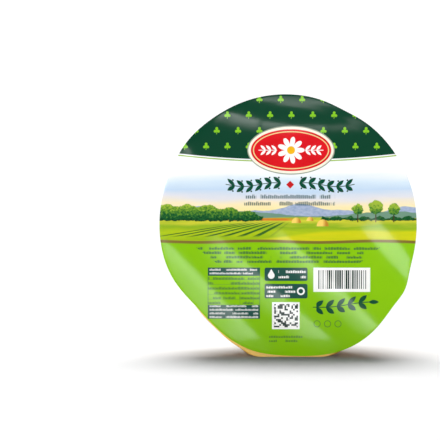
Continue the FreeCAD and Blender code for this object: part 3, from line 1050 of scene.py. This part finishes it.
class PACK_OT_film_pinches(bpy.types.Operator):
    """Build the small pinched creases that stand up from the film"""

    bl_idname = "pack.film_pinches"
    bl_label = "Film Pinches"

    def execute(self, context):
        pack = context.scene.butter_pack
        rng = np.random.default_rng(31)
        count = pack.pinch_count
        loose = np.stack([rng.uniform(-60, 240, count) % 360, rng.uniform(6, 80, count),
                          rng.normal(80, 26, count), rng.uniform(2.0, 5.5, count),
                          rng.uniform(0.8, 1.4, count)], axis=-1)
        calm = label_calm(heading(loose[:, 0], loose[:, 1])) > 0.2
        turn, lean, bearing, length, width = np.concatenate([PINCHES, loose[calm]]).T[:, :, None, None]
        middle = heading(turn, lean)
        east = np.cross(middle, [0.0, 1.0, 0.0])
        east /= np.linalg.norm(east, axis=-1, keepdims=True)
        bearing = np.radians(bearing)[..., None]
        forward = east * np.cos(bearing) + np.cross(east, middle) * np.sin(bearing)
        rings, sides = 13, 8
        along = np.linspace(-1, 1, rings)[:, None]
        around = np.radians(np.arange(sides) * 360 / sides)
        taper = np.sqrt(np.maximum(1 - along ** 2, 0.0004)) * (1 + 0.3 * along)
        bow = rng.uniform(-0.16, 0.16, len(middle))[:, None, None] * (1 - along ** 2)
        shift = bow * length / 2 + np.cos(around) * width / 2 * taper
        way = (middle * FOLD_SCALE + forward * (along * length / 2)[..., None]
               + np.cross(middle, forward) * shift[..., None])
        way /= np.linalg.norm(way, axis=-1, keepdims=True)
        height = width / 4 * taper * np.sin(around) - 0.12
        points = settle(way * (film_reach(way, pack) + height)[..., None])
        # Painted highlight: the whitish share runs along the top of each pinch and is strongest at its
        # middle.
        crest_highlight = np.maximum(np.sin(around), 0.0) * (1 - along ** 2) ** 0.7 * np.ones_like(length)
        first = np.arange(len(middle))[:, None, None] * rings * sides
        quads = (first + ring_quads(rings, sides)).reshape(-1, 4)
        ends = np.stack([np.arange(sides)[::-1], np.arange(sides) + (rings - 1) * sides])
        faces = quads.tolist() + (first + ends).reshape(-1, sides).tolist()
        piece = new_piece("film_pinches", place(points).reshape(-1, 3), faces, 180,
                          [("crest_highlight", crest_highlight.reshape(-1, 1))])
        finish_piece(piece, pinch_material(), "filled_dome")
        return {"FINISHED"}


class PACK_OT_printed_lid(bpy.types.Operator):
    """Build the printed lid film with its flange"""

    bl_idname = "pack.printed_lid"
    bl_label = "Printed Lid"

    def execute(self, context):
        pack = context.scene.butter_pack
        turns = np.linspace(0, 360, 480, endpoint=False)
        rim, out = rim_radius(turns, pack), heading(turns, 0.0)
        share = np.concatenate([np.linspace(0.02, 0.9, 34), np.linspace(0.915, 0.996, 10)])[:, None]
        front = out * (share * rim)[..., None]
        x, z = front[..., 0], front[..., 2]
        swell = 0.08 * np.sin(x / 27 + 0.7) * np.sin(z / 31 + 0.4) + 0.008 * np.sin((x + 0.8 * z) / 11)
        curl = smooth((share - 0.9) / 0.1) * ripple(out, seed=41, count=10, low=5, high=22) * 0.016
        front[..., 1] = swell * smooth((1.02 - share) / 0.1) + curl - 0.42
        thickness, rounding = np.array([0, 0.22, 0]), np.array([0, 0.07, 0])
        edge = out * rim[:, None] + front[-1:] * [0, 1, 0]
        back = front[::-1] + thickness
        rings = np.concatenate([front, edge + rounding, edge + thickness - rounding, back])
        back_side = np.zeros(rings.shape[:2])
        back_side[len(front) + 1:] = 1.0
        reach = np.concatenate([share, [[1.0], [1.0]], share[::-1]]) + 0 * turns
        piece = ring_skin("printed_lid_film", rings, back_side=back_side, rim_share=reach)
        finish_piece(piece, lid_material(), "printed_lid")
        return {"FINISHED"}


class PACK_OT_oval_label(bpy.types.Operator):
    """Build the oval label near the crown"""

    bl_idname = "pack.oval_label"
    bl_label = "Oval Label"

    def execute(self, context):
        pack = context.scene.butter_pack
        aim = heading(LABEL_TURN, LABEL_LEAN)
        level = np.cross(aim, [0.0, 0.0, 1.0])
        level /= np.linalg.norm(level)
        upright = np.cross(level, aim)
        cosine, sine = math.cos(math.radians(LABEL_TILT)), math.sin(math.radians(LABEL_TILT))
        side, up = level * cosine + upright * sine, upright * cosine - level * sine
        around = np.radians(np.linspace(0, 360, 144, endpoint=False))
        share = np.append(np.linspace(0.02, 0.96, 26), 0.99)[:, None]
        across = LABEL_HALF_WIDTH * share * np.cos(around)
        upward = LABEL_HALF_HEIGHT * share * np.sin(around)
        way = aim * broad_reach(aim[None], pack)[0] + across[..., None] * side + upward[..., None] * up
        way /= np.linalg.norm(way, axis=-1, keepdims=True)
        ground = film_reach(way, pack)[..., None]
        top = settle(way * (ground + 0.13))
        under = settle(way * (ground - 0.06))
        edge = settle(way[-1:] * (ground[-1:] + 0.05))
        edge += (edge - edge.mean(axis=1, keepdims=True)) * 0.006
        flat = np.stack([across, upward, 0 * across], axis=-1)
        piece = ring_skin("oval_label_paper", np.concatenate([top, edge, under[::-1]]),
                          label_place=np.concatenate([flat, flat[-1:], flat[::-1]]))
        finish_piece(piece, label_material(), "oval_label")
        return {"FINISHED"}


def put(name, data, turned, location=(0.0, 0.0, 0.0)):
    """Adds a lamp or a camera, turned and placed."""
    thing = bpy.data.objects.new(name, data)
    thing.rotation_mode = "QUATERNION"
    thing.rotation_quaternion = turned
    thing.location = location
    bpy.context.scene.collection.objects.link(thing)
    return thing


def gloss_strip(name, u, v, lean, width, length, glow, fade):
    """A strip of light in front of the lid that only its gloss shows, as a strip at (u, v) from the
    middle of the lid. Seen from the camera's distance, the mirror ray runs on in proportion."""
    ahead = 0.1
    share = ahead / CAMERA_DISTANCE
    light = bpy.data.lights.new(name, "AREA")
    light.shape = "RECTANGLE"
    light.size, light.size_y = width * MM * (1 + share), length * MM * (1 + share)
    light.energy = glow * math.pi * light.size * light.size_y
    light.use_nodes = True
    plan = Plan(name, light.node_tree)
    across, along, _ = plan.split(plan.take("ShaderNodeNewGeometry", "Parametric"))
    level = ((0.5 - abs(along - 0.5)) * 9.0).clamped() * ((0.5 - abs(across - 0.5)) * 14.0).clamped()
    if fade:
        level = level * (0.5 - fade * (across - 0.5)) ** 1.3
    emission = plan.take("ShaderNodeEmission", 0, {"Color": plan.join(level, level, level)})
    plan.node("ShaderNodeOutputLight", {0: emission})
    height = v * MM + (v * MM - CAMERA_DISTANCE * math.sin(CAMERA_TILT)) * share
    turned = Quaternion((0, 1, 0), math.radians(-lean)) @ Quaternion((1, 0, 0), math.radians(90))
    lamp = put(name, light, turned,
               (u * MM * (1 + share), LID_FACE * MM - ahead, AXIS_HEIGHT * MM + height))
    lamp.visible_camera = lamp.visible_diffuse = False


class PACK_OT_studio(bpy.types.Operator):
    """Build the floor, the lights and the camera"""

    bl_idname = "pack.studio"
    bl_label = "Studio"

    def execute(self, context):
        scene = context.scene
        scene.view_settings.view_transform = "Standard"
        corners = np.array([(-6, -6, 0), (6, -6, 0), (6, 6, 0), (-6, 6, 0)])
        floor = new_piece("studio_floor", corners, [(0, 1, 2, 3)], 180)
        floor.data.materials.append(floor_material())
        floor.visible_shadow = False

        scene.world = bpy.data.worlds.new("studio_air")
        scene.world.use_nodes = True
        air = Plan("studio_air", scene.world.node_tree)
        seen, glossy = (air.take("ShaderNodeLightPath", kind) for kind in ("Is Camera Ray", "Is Glossy Ray"))
        glow = air.take("ShaderNodeBackground", 0, {"Color": (1.0, 1.0, 1.0, 1.0),
                                                    "Strength": 0.13 + 0.97 * seen + 0.42 * glossy})
        air.node("ShaderNodeOutputWorld", {0: glow})

        for title, energy, spread, towards, bounces in SUNS:
            sun = bpy.data.lights.new(title, "SUN")
            sun.energy = energy
            sun.angle = math.radians(spread)
            sun.cycles.max_bounces = bounces
            put(title, sun, Vector(towards).to_track_quat("-Z", "Y"))
        for number, sheen in enumerate(SHEENS):
            gloss_strip(f"gloss_strip_{number}", *sheen)

        view = bpy.data.cameras.new("view")
        view.lens = view.sensor_width * CAMERA_DISTANCE / (VIEW_WIDTH * MM)
        middle = Vector((0.0, LID_FACE * MM, AXIS_HEIGHT * MM))
        seat = middle + CAMERA_DISTANCE * Vector((0.0, -math.cos(CAMERA_TILT), math.sin(CAMERA_TILT)))
        aim = middle + Vector((VIEW_SIDE * MM, 0.0, VIEW_RISE * MM))
        scene.camera = put("view", view, (aim - seat).to_track_quat("-Z", "Y"), seat)
        return {"FINISHED"}


class VIEW3D_PT_butter_pack(bpy.types.Panel):
    """Sidebar panel of the pack"""

    bl_label = "Butter Pack"
    bl_space_type = "VIEW_3D"
    bl_region_type = "UI"
    bl_category = "Butter Pack"

    def draw(self, context):
        for name in ButterPackSettings.__annotations__:
            self.layout.prop(context.scene.butter_pack, name)
        for operator in OPERATORS:
            self.layout.operator(operator.bl_idname)


OPERATORS = (PACK_OT_studio, PACK_OT_butter_lump, PACK_OT_clear_film, PACK_OT_film_pinches,
             PACK_OT_printed_lid, PACK_OT_oval_label)


def register():
    for cls in (ButterPackSettings, *OPERATORS, VIEW3D_PT_butter_pack):
        bpy.utils.register_class(cls)
    bpy.types.Scene.butter_pack = PointerProperty(type=ButterPackSettings)


def unregister():
    del bpy.types.Scene.butter_pack
    for cls in reversed((ButterPackSettings, *OPERATORS, VIEW3D_PT_butter_pack)):
        bpy.utils.unregister_class(cls)


def main():
    register()
    bpy.ops.pack.studio()
    bpy.ops.pack.butter_lump()
    bpy.ops.pack.clear_film()
    bpy.ops.pack.film_pinches()
    bpy.ops.pack.printed_lid()
    bpy.ops.pack.oval_label()


if __name__ == "__main__":
    main()
